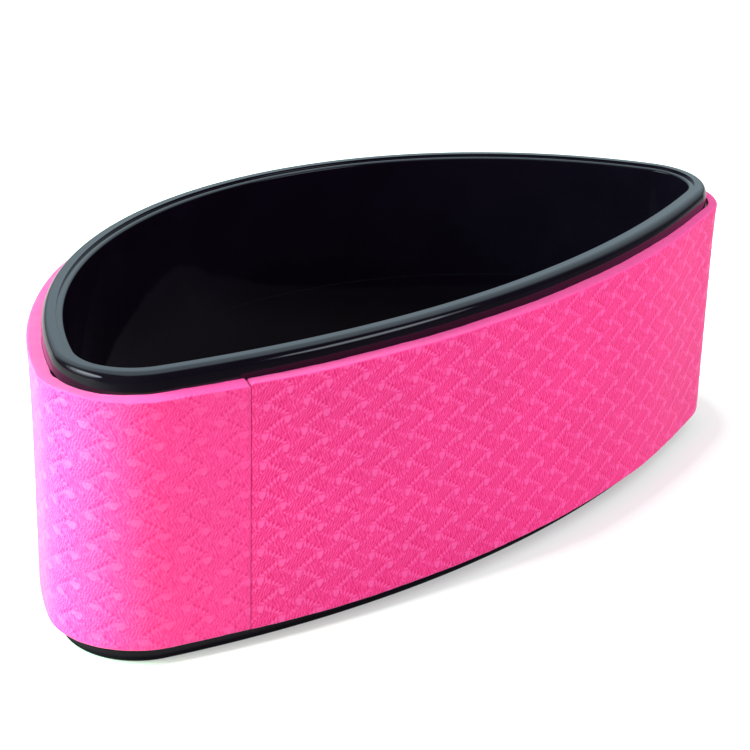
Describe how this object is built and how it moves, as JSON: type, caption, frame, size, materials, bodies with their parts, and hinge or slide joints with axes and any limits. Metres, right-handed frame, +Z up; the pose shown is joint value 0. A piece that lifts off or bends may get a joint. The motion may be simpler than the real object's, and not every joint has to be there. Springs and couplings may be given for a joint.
{
  "type": "half yoga wheel",
  "caption": "Leaf-shaped hollow wheel for back stretches, one side flatter and the other rounder, with glossy black rims and an embossed pink foam cover wrapped around it.",
  "frame": {"origin": "centre of the bounding box, on the surface the wheel lies on", "axes": "+X along the leaf's length from one rounded end to the other, +Y from the flatter arc towards the rounder arc, +Z up along the wheel's axis"},
  "size_m": [0.3986, 0.2098, 0.13],
  "materials": {
    "shell_plastic": "polished black, mirror-like",
    "adhesive": "thin film",
    "cover_foam": "soft foam, embossed with a fine wave pattern"
  },
  "bodies": {
    "root": {"shell_upper_half": "shell_plastic", "shell_lower_half": "shell_plastic", "adhesive_tape": "adhesive", "foam_cover": "cover_foam"}
  },
  "joints": []
}
